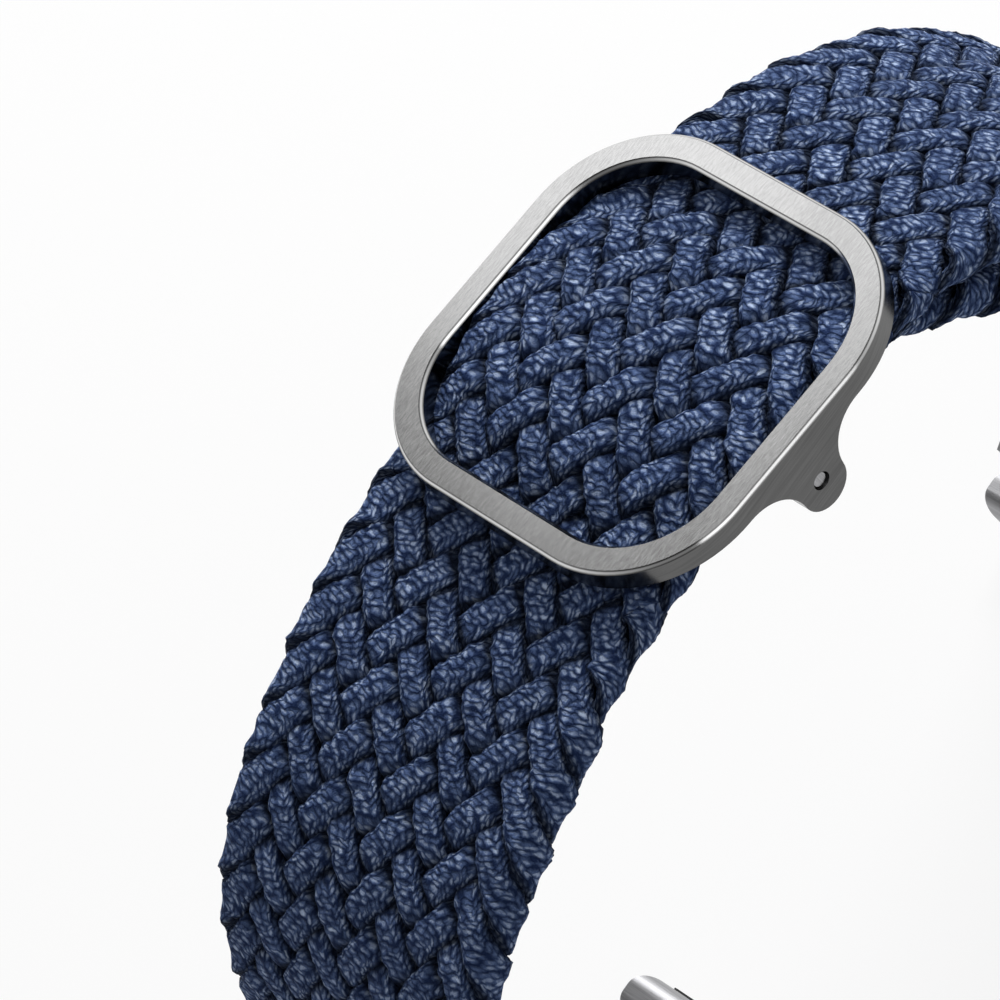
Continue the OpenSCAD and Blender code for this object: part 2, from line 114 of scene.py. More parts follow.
def unit(a):
    """The direction (x, z) at a bearing in degrees."""
    return np.array([math.cos(math.radians(a)), math.sin(math.radians(a))])


def ease(f):
    """A smooth step from 0 to 1."""
    f = np.clip(f, 0, 1)
    return f * f * (3 - 2 * f)


def layer_t(a):
    """Thickness of the outer layer, a degrees from the top."""
    return PRESSED_T + (BAND_T - PRESSED_T) * ease(max(press_from - a, a - press_to) / PRESS_EASE_A)


def return_t(a):
    """Thickness of the inner layer, a degrees from the top, which thins to the seam's."""
    return seam_t + (BAND_T - seam_t) * ease((a - return_a) / (join_a - return_a))


def arc(centre, r, a, b, side=1, t=BAND_T, step=ARC_STEP):
    """Stations [x, z, normal x, normal z, thickness] along an arc from bearing a to bearing b."""
    n = max(4, int(abs(math.radians(b - a)) * r / step))
    out = []
    for i in range(n + 1):
        u = unit(a + (b - a) * i / n)
        out.append([*(np.array(centre) + r * u), *(side * u), t])
    return out


def top_station(a, r, side, t):
    """The station on the top arc a degrees from the top, at radius r."""
    u = unit(90 - a)
    return [*(top_centre + r * u), *(side * u), t]


def leg_angles(bar_x):
    """Bearings from the side arc's centre where the outer and the inner leg leave for the bar."""
    d = np.array([bar_x, BAR_Z]) - side_centre
    bearing = math.degrees(math.atan2(d[1], d[0]))
    far = np.hypot(*d)
    return (
        bearing + math.degrees(math.acos((outer_mid - wrap_mid) / far)),
        bearing + math.degrees(math.acos((inner_mid + wrap_mid) / far)),
    )


def side_run(bar_x):
    """Down the side arc's outside and round the bar."""
    out_a, in_a = leg_angles(bar_x)
    down = arc(side_centre, outer_mid, 90 - join_a, out_a)[1:]
    return down + arc((bar_x, BAR_Z), wrap_mid, out_a, in_a - 180, step=WRAP_STEP)


def inner_run(bar_x, to_a):
    """From the bar back up the side arc's inside."""
    in_a = leg_angles(bar_x)[1]
    start = np.array([bar_x, BAR_Z]) - wrap_mid * unit(in_a)
    return [[*start, *(-unit(in_a)), BAND_T]] + arc(side_centre, inner_mid, in_a, to_a, -1)


def mirrored(stations):
    """The same run on the other side, from its end to its start."""
    return [[-x, z, -nx, nz, t] for x, z, nx, nz, t in reversed(stations)]


def main_run():
    """From the sewn end round bar A, over the top and round bar B."""
    sewn_a = leg_angles(bar_a_x)[1] + math.degrees(SEWN_L / inner_mid)
    top = []
    for a in np.linspace(-join_a, join_a, TOP_STATIONS):
        t = layer_t(a)
        top.append(top_station(a, TOP_R - t / 2, 1, t))
    side_a = side_run(bar_a_x) + inner_run(bar_a_x, sewn_a)[1:]
    return mirrored(side_a) + top + side_run(bar_b_x)


def return_run():
    """From bar B back inside the main run to the buckle."""
    out = inner_run(bar_b_x, 90 - join_a)
    for a in np.linspace(join_a, return_a, THINNING_STATIONS)[1:]:
        t = return_t(a)
        out.append(top_station(a, TOP_R - layer_t(a) - GAP - t / 2, -1, t))
    return out


def tail_run():
    """The folded end: from its seam round the cross pin and back over the seam."""
    pin = top_centre + pin_path_r * unit(buckle_bearing)
    seam_r = tail_mid - TAIL_T - GAP / 2
    seam = top_centre + seam_r * unit(buckle_bearing - tail_a)
    d = seam - pin
    touch_a = math.degrees(math.atan2(d[1], d[0]) - math.acos(tail_wrap / np.hypot(*d)))
    round_pin = arc(pin, tail_wrap, touch_a, buckle_bearing - 360, t=TAIL_T, step=FOLD_STEP)
    back = arc(top_centre, tail_mid, buckle_bearing, buckle_bearing - tail_a, t=TAIL_T)
    return [[*seam, *unit(touch_a), TAIL_T]] + round_pin + back[1:]


class Band:
    """A run of stations that can be read at any length s along its middle, and straight on past
    its ends. s is 0 on the loop's upper half at zero_x, or s_from at the first station."""

    def __init__(self, stations, zero_x=None, s_from=0.0):
        self.a = np.array(stations, float)
        d = np.hypot(*np.diff(self.a[:, :2], axis=0).T)
        self.s = np.r_[0, np.cumsum(d)] + s_from
        if zero_x is not None:
            high = self.a[:, 1] > LOOP_H / 2
            self.s -= self.s[np.argmin(np.where(high, np.abs(self.a[:, 0] - zero_x), np.inf))]
        self.first, self.last = self.s[0], self.s[-1]

    def at(self, s):
        """Place x, z, normal x, z and thickness at s."""
        x, z, nx, nz, t = (np.interp(s, self.s, column) for column in self.a.T)
        before, after = np.clip(self.first - s, 0, None), np.clip(s - self.last, 0, None)
        n = np.hypot(nx, nz)
        nx, nz = nx / n, nz / n
        x, z = x - nz * before + nz * after, z + nx * before - nx * after
        return x, z, nx, nz, t


def eased(s, knots):
    """Values between knots of (place, value), level at every knot."""
    places, values = np.array(knots, float).T
    i = np.clip(np.searchsorted(places, s) - 1, 0, len(places) - 2)
    f = (s - places[i]) / (places[i + 1] - places[i])
    return values[i] + (values[i + 1] - values[i]) * ease(f)


# the ring's middle along the band, its window's corner (centre along and across, inner radius),
# and half the length of the stretch of braid that is the window's own
RING_S = (TOP_R - PRESSED_T / 2) * math.radians(BUCKLE_A)
CORNER_S, CORNER_W, CORNER_R = 4.8, 5.25, 6.2
WINDOW_HALF = 11.9
# the swell in the window: its height inside the rim, how much less that is at the band's edges,
# the length over which it rises and the widest place that counts; and the dome on it: its height,
# half length and half width
RIM_H, RIM_DROP, RIM_EASE, RIM_W = 0.88, 0.12, 4.6, 11.4
DOME_H, DOME_L, DOME_W = 1.1, 9.6, 13.0
# width and rise of the braid along the band, as knots of (place, millimetres)
MAIN_WIDTH = [(-60, 22), (-46, 23.6), (-1.7, 23.9), (13.3, 23.9), (22, 23.6), (44, 23.4), (57, 22)]
MAIN_RISE = [
    (-58, 0), (-44, 0.3), (-30, 0.5), (-22, 0.45), (-14, 0.4), (-8, 0.1), (0, 0.08),
    (18, 0.06), (24, -0.35), (31, -0.8), (38, -0.7), (52, 0),
]


def window_swell(s, w):
    """How far the band swells up inside the ring's window."""
    y = np.clip(np.abs(w), 0, RIM_W)
    reach = CORNER_S + np.sqrt(CORNER_R**2 - np.clip(y - CORNER_W, 0, None) ** 2)
    inside = (reach - np.abs(s - RING_S)) / RIM_EASE
    rim = (RIM_H - RIM_DROP * (y / (BAND_W / 2)) ** 2) * ease(inside)
    dome = 1 - ((s - RING_S) / DOME_L) ** 2 - (y / DOME_W) ** 2
    return rim + DOME_H * np.clip(dome, 0, None)


# ---------------------------------------------------------------- braid
STRANDS = 17
# the band's length per strand, the distance across between two crossings, and the lattice's
# slant and place along the band
PITCH = 3.5
COLUMN = 1.25
SKEW, SHIFT = 0.08, 0.505
STRAND_W = 2.12
# where a strand turns over at the edge and how high it rises there, how flat it floats between
# two dives, and the softening of its track (half length in samples, width in pitches)
EDGE_W, EDGE_H = 9.375, 0.95
FLOAT_FLAT = 3.2
SOFT_HALF, SOFT_W = 4, 0.06
# a strand's section: the power that squares it, and how much thinner it is where it dives
SECTION_POWER = 0.7
DIVE_THIN = 0.05
# from where across a strand grows wider, over what distance and by what share, and the most that
# half of it may be, as a share of the band's thickness, where it stands on its edge
WIDER_FROM, WIDER_OVER, WIDER = 8.4, 1.2, 0.12
ON_EDGE = 0.46
# noise: drift across in millimetres, and shares of the floats' height, of width and thickness in
# long swells and short lumps, and of the section in loops, which are sums of three draws
DRIFT, LIFT = 0.03, 0.01
SWELLS_W, SWELLS_T, LUMPS_W, LUMPS_T, LUMP_STEPS = 0.02, 0.01, 0.03, 0.02, 2
LOOPS, LOOPS_SUM = 0.05, 1.73
NOISE_PITCHES = 200
# how far before its span a strand is laid, how much longer than it, and how much further on its
# yarn pattern starts than its neighbour's
LAY_BEFORE, LAY_SPARE, YARN_SHIFT = 4, 12, 7.3
# the dark sheet of painted shade in the gaps between the strands: step along, inset from the edge,
# points across, half thickness as a share of the band's, and how far out and how squarely its
# edges are rounded
SHADE_SHEET_STEP, SHADE_SHEET_INSET, SHADE_SHEET_POINTS, SHADE_SHEET_T = 0.6, 1.05, 13, 0.16
SHADE_SHEET_SPAN, SHADE_SHEET_POWER = 0.97, 6
# the tone of what is no strand of the braid, between a strand's 0 and 1
EVEN_TONE = 0.5


def strand_track(steps_per_pitch):
    """One turn of a strand across the band and back, over two and under two, in units of PITCH:
    place across the band, height from -1 to 1 and roll of the strand's section in degrees."""
    n = STRANDS * steps_per_pitch
    w, h, roll = np.zeros(n), np.zeros(n), np.zeros(n)
    half = STRANDS / 2
    for i, v in enumerate(np.arange(n) / steps_per_pitch):
        if 0.5 <= v <= half - 0.5:
            crossing, side = 2 * v - 1, 1
        elif half + 0.5 <= v <= STRANDS - 0.5:
            crossing, side = STRANDS - 2 - 2 * (v - half - 0.5), -1
        else:
            crossing = None
        if crossing is not None:
            wave = math.cos(math.pi / 2 * (crossing - 0.5)) * side
            w[i] = COLUMN * (crossing - (STRANDS - 2) / 2)
            h[i] = math.tanh(FLOAT_FLAT * wave) / math.tanh(FLOAT_FLAT)
            roll[i] = 180 if side > 0 else 0
        else:
            right = abs(v - half) < 0.5
            phi = 180 * (v - half if right else (v if v < 1 else v - STRANDS))
            reach = EDGE_W + (BAND_W / 2 - BAND_T / 4 - EDGE_W) * math.cos(math.radians(phi))
            w[i] = reach if right else -reach
            h[i] = EDGE_H * math.sin(math.radians(phi))
            roll[i] = 90 - phi if right else 90 + phi
    near = np.arange(-SOFT_HALF, SOFT_HALF + 1)
    kernel = np.exp(-0.5 * (near / (SOFT_W * steps_per_pitch)) ** 2)
    kernel /= kernel.sum()

    def softened(v):
        return np.convolve(np.r_[v[-SOFT_HALF:], v, v[:SOFT_HALF]], kernel, "valid")

    return softened(w), softened(h), softened(roll)


def soft_noise(rng, n, every):
    """Smooth noise with a standard deviation of 1 and one knot in every so many samples."""
    knots = rng.standard_normal(n // every + 4)
    x = np.arange(n) / every + 1
    i = x.astype(int)
    f = ease(x - i)
    return knots[i] * (1 - f) + knots[i + 1] * f


def section(sides, power):
    """A round section of radius 1 that is squarer the lower its power is."""
    v = np.arange(sides) / sides * 2 * math.pi
    c, s = np.cos(v), np.sin(v)
    return np.sign(c) * np.abs(c) ** power, np.sign(s) * np.abs(s) ** power


def unit_rows(rows):
    """Each row as a direction of length 1."""
    return rows / np.linalg.norm(rows, axis=1)[:, None]


def tubes_mesh(name, tubes):
    """One mesh of many closed tubes. Each tube is (rings n x m x 3 in metres, length along the
    yarn per ring, lay per ring, tone): lay is 0 where a strand dives and 1 where it floats."""
    verts, quads, yarn, lay = [], [], [], []
    caps, cap_yarn, cap_lay = [], [], []
    base = 0
    for rings, u, depth, tone in tubes:
        n, m = rings.shape[:2]
        verts.append(rings.reshape(-1, 3))
        i, j = np.arange(n - 1)[:, None] * m, np.arange(m)[None]
        k = (j + 1) % m
        quads.append(np.stack([i + j, i + k, i + m + k, i + m + j], -1).reshape(-1, 4) + base)
        v0 = np.broadcast_to(np.arange(m) / m, (n - 1, m))
        v1 = v0 + 1 / m
        u0, u1, d0, d1 = (
            np.broadcast_to(row[:, None], (n - 1, m))
            for row in (u[:-1], u[1:], depth[:-1], depth[1:])
        )
        t = np.full((n - 1, m), tone)
        yarn.append(np.stack([u0, v0, u0, v1, u1, v1, u1, v0], -1).reshape(-1, 2))
        lay.append(np.stack([d0, t, d0, t, d1, t, d1, t], -1).reshape(-1, 2))
        for corners, end in ((np.arange(m)[::-1], 0), ((n - 1) * m + np.arange(m), -1)):
            caps.append(base + corners)
            cap_yarn.append(np.c_[np.full(m, u[end]), np.linspace(0, 1, m)])
            cap_lay.append(np.c_[np.full(m, depth[end]), np.full(m, tone)])
        base += n * m
    verts, quads = np.concatenate(verts), np.concatenate(quads)
    mesh = bpy.data.meshes.new(name)
    mesh.vertices.add(len(verts))
    mesh.vertices.foreach_set("co", verts.astype(np.float32).ravel())
    loops = np.concatenate([quads.ravel()] + caps)
    mesh.loops.add(len(loops))
    mesh.loops.foreach_set("vertex_index", loops.astype(np.int32))
    cap_starts = quads.size + np.r_[0, np.cumsum([len(corners) for corners in caps])][:-1]
    starts = np.r_[np.arange(len(quads)) * 4, cap_starts]
    mesh.polygons.add(len(starts))
    mesh.polygons.foreach_set("loop_start", starts.astype(np.int32))
    mesh.polygons.foreach_set("use_smooth", np.ones(len(starts), bool))
    for layer, pairs in (("yarn", yarn + cap_yarn), ("lay", lay + cap_lay)):
        flat = np.concatenate(pairs).astype(np.float32).ravel()
        mesh.uv_layers.new(name=layer).data.foreach_set("uv", flat)
    mesh.update(calc_edges=True)
    mesh.validate()
    obj = bpy.data.objects.new(name, mesh)
    bpy.context.scene.collection.objects.link(obj)
    return obj


def painted_shade_sheet(band, s_from, s_to, width, rise, swell):
    """A dark sheet between the two layers of strands, which closes the gaps between them: painted
    shade, as its lay of 0 takes the yarn's deepest painted shade.
    """
    n = max(8, int((s_to - s_from) / SHADE_SHEET_STEP))
    s = np.linspace(s_from, s_to, n)
    x, z, nx, nz, t = band.at(s)
    place = np.linspace(-1, 1, SHADE_SHEET_POINTS)[None]
    across = place * (eased(s, width) / 2 - SHADE_SHEET_INSET)[:, None]
    mid = 0 * across
    if rise:
        mid = mid + eased(s, rise)[:, None]
    if swell:
        mid = mid + swell(np.repeat(s[:, None], SHADE_SHEET_POINTS, 1), across) / 2
    thick = np.sqrt(1 - (place * SHADE_SHEET_SPAN) ** SHADE_SHEET_POWER) * (SHADE_SHEET_T * t)[:, None]
    w = np.concatenate([across, across[:, ::-1]], 1)
    high = np.concatenate([mid + thick, (mid - thick)[:, ::-1]], 1)
    rings = [x[:, None] + nx[:, None] * high, -w, z[:, None] + nz[:, None] * high]
    return np.stack(rings, -1) * MM, s - s_from, np.zeros(n), EVEN_TONE


def braid(name, band, spans, width, rise=None, swell=None, seed=7, *, steps, sides):
    """Braids STRANDS strands along a band over spans (from, to), in millimetres along its middle.
    width and rise are knots of (place, millimetres); swell is a function of place and place across;
    steps are samples per PITCH and sides the points round a strand."""
    w1, h1, roll1 = strand_track(steps)
    per = len(w1)
    cx, cz = section(sides, SECTION_POWER)
    # the noise is read by place along the whole braid, so that two runs of one braid meet
    long = NOISE_PITCHES * steps
    tubes = []
    for s_from, s_to in spans:
        for strand in range(STRANDS):
            rng = np.random.default_rng(seed * 100 + strand)
            first = math.floor((s_from - LAY_BEFORE) / PITCH - strand) * steps
            count = int((s_to - s_from + LAY_SPARE) / PITCH * steps)
            idx = first + np.arange(count)
            at = np.clip(idx + long // 2, 0, long - 1)
            drift, lift, swells = (soft_noise(rng, long, steps)[at] for _ in range(3))
            lumps = soft_noise(rng, long, LUMP_STEPS)[at]
            loops = rng.standard_normal((long, sides))
            loops = (loops + np.roll(loops, 1, 0) + np.roll(loops, 1, 1)) / LOOPS_SUM
            tone = rng.random()
            h = h1[idx % per]
            roll = np.radians(roll1[idx % per])
            level = w1[idx % per] + DRIFT * drift
            s = PITCH * (idx / steps + strand) + SKEW * level + SHIFT
            fit = eased(s, width) / BAND_W
            w = level * fit
            keep = (s >= s_from) & (s <= s_to)
            runs = np.split(np.arange(count), np.flatnonzero(np.diff(keep.astype(int))) + 1)
            for run in runs:
                if not keep[run[0]] or len(run) < 3:
                    continue
                r = np.arange(max(run[0] - 1, 0), min(run[-1] + 2, count))
                sr = np.clip(s[r], s_from, s_to)
                x, z, nx, nz, t = band.at(sr)
                up = swell(sr, w[r]) if swell else 0
                high = (h[r] * (1 + LIFT * lift[r])) * (t + up) / 4 + up / 2
                if rise:
                    high = high + eased(sr, rise)
                centre = np.c_[x + nx * high, -w[r], z + nz * high]
                ahead = unit_rows(np.gradient(centre, axis=0))
                normal = np.c_[nx * np.cos(roll[r]), -np.sin(roll[r]), nz * np.cos(roll[r])]
                normal = unit_rows(normal - ahead * (normal * ahead).sum(1)[:, None])
                across = np.cross(ahead, normal)
                flat = np.abs(h[r])
                edge = np.clip((np.abs(level[r]) - WIDER_FROM) / WIDER_OVER, 0, 1)
                a = STRAND_W / 2 * fit[r] * (1 + WIDER * edge)
                a = a * (1 + SWELLS_W * swells[r] + LUMPS_W * lumps[r])
                # a strand that turns over stands on its own edge, so it can't be wider than the
                # band is thick
                a = a + (np.minimum(a, ON_EDGE * (t + up)) - a) * np.sin(roll[r]) ** 2
                b = (t + up) / 4 * (1 - DIVE_THIN + DIVE_THIN * flat)
                b = b * (1 + SWELLS_T * swells[r] + LUMPS_T * lumps[r])
                knots = 1 + LOOPS * loops[at[r]]
                rings = (
                    centre[:, None]
                    + across[:, None] * (cx[None, :] * knots * a[:, None])[..., None]
                    + normal[:, None] * (cz[None, :] * knots * b[:, None])[..., None]
                )
                gone = np.cumsum(np.linalg.norm(np.diff(centre, axis=0), axis=1))
                u = np.r_[0, gone] + strand * YARN_SHIFT
                # the lay, high where a strand floats or turns over the edge, is the mask of the yarn's
                # painted shade
                tubes.append((rings * MM, u, np.maximum(flat, edge), tone))
        # a dark sheet of painted shade in the gaps between the strands
        tubes.append(painted_shade_sheet(band, s_from, s_to, width, rise, swell))
    return tubes_mesh(name, tubes)


# ---------------------------------------------------------------- node helpers
class Nodes:
    """A short way to write the nodes of a material or a world."""

    def __init__(self, tree):
        self.tree = tree

    def add(self, kind, **values):
        node = self.tree.nodes.new(kind)
        for key, value in values.items():
            setattr(node, key, value)
        return node

    def link(self, a, b):
        self.tree.links.new(a, b)

    def feed(self, value, socket):
        """Sets a number on a socket, or links an output to it."""
        if isinstance(value, (int, float)):
            socket.default_value = value
        else:
            self.link(value, socket)

    def math(self, operation, *inputs, clamp=False):
        node = self.add("ShaderNodeMath", operation=operation, use_clamp=clamp)
        for value, socket in zip(inputs, node.inputs):
            self.feed(value, socket)
        return node.outputs[0]

    def combine(self, x, y, z=0.0):
        node = self.add("ShaderNodeCombineXYZ")
        for value, socket in zip((x, y, z), node.inputs):
            self.feed(value, socket)
        return node.outputs[0]

    def separate(self, vector):
        node = self.add("ShaderNodeSeparateXYZ")
        self.link(vector, node.inputs[0])
        return node.outputs

    def with_vector(self, operation, vector, constant, output="Vector"):
        """A vector operation on a vector and a constant one."""
        node = self.add("ShaderNodeVectorMath", operation=operation)
        node.inputs[1].default_value = constant
        self.link(vector, node.inputs[0])
        return node.outputs[output]

    def scaled(self, colour, factor):
        node = self.add("ShaderNodeVectorMath", operation="SCALE")
        self.link(colour, node.inputs[0])
        self.link(factor, node.inputs["Scale"])
        return node.outputs[0]

    def ramp(self, value, stops):
        node = self.add("ShaderNodeValToRGB")
        band = node.color_ramp
        while len(band.elements) < len(stops):
            band.elements.new(0.5)
        for element, (place, colour) in zip(band.elements, stops):
            element.position = place
            element.color = (*colour, 1)
        self.link(value, node.inputs[0])
        return node.outputs[0]

    def noise(self, vector, scale, detail=2.0, rough=0.5):
        node = self.add("ShaderNodeTexNoise")
        node.inputs["Scale"].default_value = scale
        node.inputs["Detail"].default_value = detail
        node.inputs["Roughness"].default_value = rough
        self.link(vector, node.inputs["Vector"])
        return node.outputs["Fac"]


class Surface(Nodes):
    """A new material with its nodes, and its shader with its constants."""

    def __init__(self, name, constants):
        self.material = bpy.data.materials.new(name)
        self.material.use_nodes = True
        super().__init__(self.material.node_tree)
        self.shader = self.tree.nodes["Principled BSDF"]
        for socket, value in constants.items():
            self.shader.inputs[socket].default_value = value

    def bump(self, height, distance):
        node = self.add("ShaderNodeBump")
        node.inputs["Distance"].default_value = distance
        node.inputs["Strength"].default_value = 1.0
        self.link(height, node.inputs["Height"])
        self.link(node.outputs["Normal"], self.shader.inputs["Normal"])


# ---------------------------------------------------------------- yarn
# pairs here are (factor, offset)
# columns of loops round a strand, loops in a millimetre of it, how many loops further on the next
# column lies, and after how many columns that turns the other way
COLUMNS, LOOPS_PER_MM = 14.0, 2.7
LEAN, LEAN_COLUMNS = 0.75, 2.5
LOOP_RANDOM = 0.66
# how far the pattern wanders, in columns and loops, and the scales of the noise it follows
WANDER, SWAY_SCALE, WOBBLE_SCALE = 1.2, 1.3, 2.4
# a loop's tone, from a painted highlight at its middle to painted shade at its rim, how bright it
# is by chance, and which loops get a spark, partly a lighter fibre and partly a painted glint
LOOP_LIGHT, LOOP_CHANCE, SPARK_CHANCE = (-2.1, 1.4), (0.5, 0.5), (5.0, -4.1)
# fibres, drawn out along the columns, and a fine noise, each with scale, detail and roughness
FIBRE_STRETCH, FIBRE_NOISE, FINE_NOISE = 4.0, (1.6, 2.0, 0.6), (9.0, 3.0, 0.65)
# what loops, fibres, fine noise and sparks add to the tone, and what the first three do to height
LOOP_TONE, FIBRE_TONE, FINE_TONE, SPARK_TONE = 0.68, 0.3, (0.45, -0.32), 0.24
LOOP_RISE, FIBRE_RISE, FINE_RISE = 0.8, 0.3, 0.35
YARN_BUMP = 0.26 * MM
# the tones of the three colours: the dark, partly painted shade, the body, and the painted glint
TONE_STOPS = (0.08, 0.45, 0.95)
# painted light and shade by a strand's lay and by the side it turns, how far the painted shade
# goes, and the strand's own tint
CREST, FLANK, SHADE, STRAND_TINT = (3.6, -2.42), (-3.1, 3.15), (0.88, 0.12), (0.16, 0.92)
YARN_SHADER = {
    "Roughness": 0.6,
    "Specular IOR Level": 0.03,
    "Sheen Weight": 0.05,
    "Sheen Roughness": 0.4,
    "Sheen Tint": (0.3, 0.45, 0.9, 1),
}


def yarn_material(name, line, body, glint):
    """Textured cord: rounded loops that lean this way and that round each strand, with painted
    highlights on their middles and painted shade between them over the yarn's own texture,
    painted shade where strands dive and along their sides, and a lighter loop here and there,
    partly a lighter fibre and partly a painted glint."""
    n = Surface(name, YARN_SHADER)
    u, v, _ = n.separate(n.add("ShaderNodeUVMap", uv_map="yarn").outputs[0])
    depth, strand_tone, _ = n.separate(n.add("ShaderNodeUVMap", uv_map="lay").outputs[0])
    around = n.math("MULTIPLY", v, 2 * math.pi)
    side = n.math("COSINE", around)
    place = n.combine(u, side, n.math("SINE", around))

    # where the loops lie
    sway = n.math("MULTIPLY_ADD", n.noise(place, SWAY_SCALE), WANDER, -WANDER / 2)
    wobble = n.math("MULTIPLY_ADD", n.noise(place, WOBBLE_SCALE), WANDER, -WANDER / 2)
    column = n.math("ADD", n.math("MULTIPLY", v, COLUMNS), sway)
    lean = n.math("MULTIPLY", n.math("PINGPONG", column, LEAN_COLUMNS), LEAN)
    along = n.math("ADD", n.math("MULTIPLY_ADD", u, LOOPS_PER_MM, lean), wobble)
    cells = n.add("ShaderNodeTexVoronoi", voronoi_dimensions="2D", feature="F1")
    cells.inputs["Scale"].default_value = 1
    cells.inputs["Randomness"].default_value = LOOP_RANDOM
    n.link(n.combine(along, column), cells.inputs["Vector"])
    bright_chance, spark_chance, _ = n.separate(cells.outputs["Color"])

    # the loops' painted highlight and shade, from their middles out, over their own fibres, with
    # sparks on some, partly lighter fibres and partly painted glints
    loop = n.math("MULTIPLY_ADD", cells.outputs["Distance"], *LOOP_LIGHT, clamp=True)
    fibre = n.noise(n.combine(along, n.math("MULTIPLY", column, FIBRE_STRETCH)), *FIBRE_NOISE)
    fine = n.noise(place, *FINE_NOISE)
    grain = n.math("MULTIPLY", loop, n.math("MULTIPLY_ADD", bright_chance, *LOOP_CHANCE))
    spark = n.math("MULTIPLY_ADD", spark_chance, *SPARK_CHANCE, clamp=True)
    spark = n.math("MULTIPLY", spark, loop)
    fuzz = n.math("MULTIPLY_ADD", fibre, FIBRE_TONE, n.math("MULTIPLY_ADD", fine, *FINE_TONE))
    tone = n.math("ADD", n.math("MULTIPLY", grain, LOOP_TONE), fuzz)
    tone = n.math("ADD", tone, n.math("MULTIPLY", spark, SPARK_TONE))
    colour = n.ramp(tone, list(zip(TONE_STOPS, (line, body, glint))))

    # painted shade gathers where a strand dives and along its sides, and no two strands are one tone
    crest = n.math("MULTIPLY_ADD", depth, *CREST, clamp=True)
    flank = n.math("MULTIPLY_ADD", n.math("ABSOLUTE", side), *FLANK, clamp=True)
    shade = n.math("MULTIPLY_ADD", n.math("MULTIPLY", crest, flank), *SHADE)
    tint = n.math("MULTIPLY_ADD", strand_tone, *STRAND_TINT)
    n.link(n.scaled(colour, n.math("MULTIPLY", shade, tint)), n.shader.inputs["Base Color"])

    fuzz = n.math("MULTIPLY_ADD", fibre, FIBRE_RISE, n.math("MULTIPLY", fine, FINE_RISE))
    n.bump(n.math("ADD", n.math("MULTIPLY", loop, LOOP_RISE), fuzz), YARN_BUMP)
    return n.material


# ---------------------------------------------------------------- metal and pads
# brushing: the scratches' scale along and across, how much they darken and lighten the metal, and
# between which marks
PLAIN = dict(scale=(250, 12000, 12000), contrast=0.1, marks=(0.42, 0.58))
FINE = dict(scale=(2000, 12000, 12000), contrast=0.16, marks=(0.38, 0.62))
WALL_SCALE = (250, 250, 9000)
SCRATCH_NOISE, CLOUD_SCALE = (1.0, 3.0, 0.6), 160.0
# a mark's shares of scratch and cloud, and how much rougher the highest mark is than the lowest
GRAIN_SHARE, CLOUD_SHARE, ROUGH_SPREAD = 0.7, 0.3, 0.2
# what a surface counts as, by the cosine of its angle to the face, as (factor, offset)
ON_FACE, ON_WALL = (10, -8.8), (-5, 2.5)
# how dark the walls are painted, as a dark reflection of the band, and the grain's share on the
# polished chamfers
WALL_PAINTED_REFLECTION, POLISHED_GRAIN = 0.5, 0.5
# the ring's chamfer: its height, its roughness, and its tint from its upper edge down, a painted
# highlight line between two painted dark lines, which is each stop's grey times the gain
RING_BEVEL = 0.22 * MM
CHAMFER_ROUGH, CHAMFER_PAINTED_GAIN = 0.15, 3.0
CHAMFER_PAINTED_LINES = [(0.2, (0.17,) * 3), (0.4, (0.87,) * 3), (0.65, (0.87,) * 3), (0.9, (0.23,) * 3)]


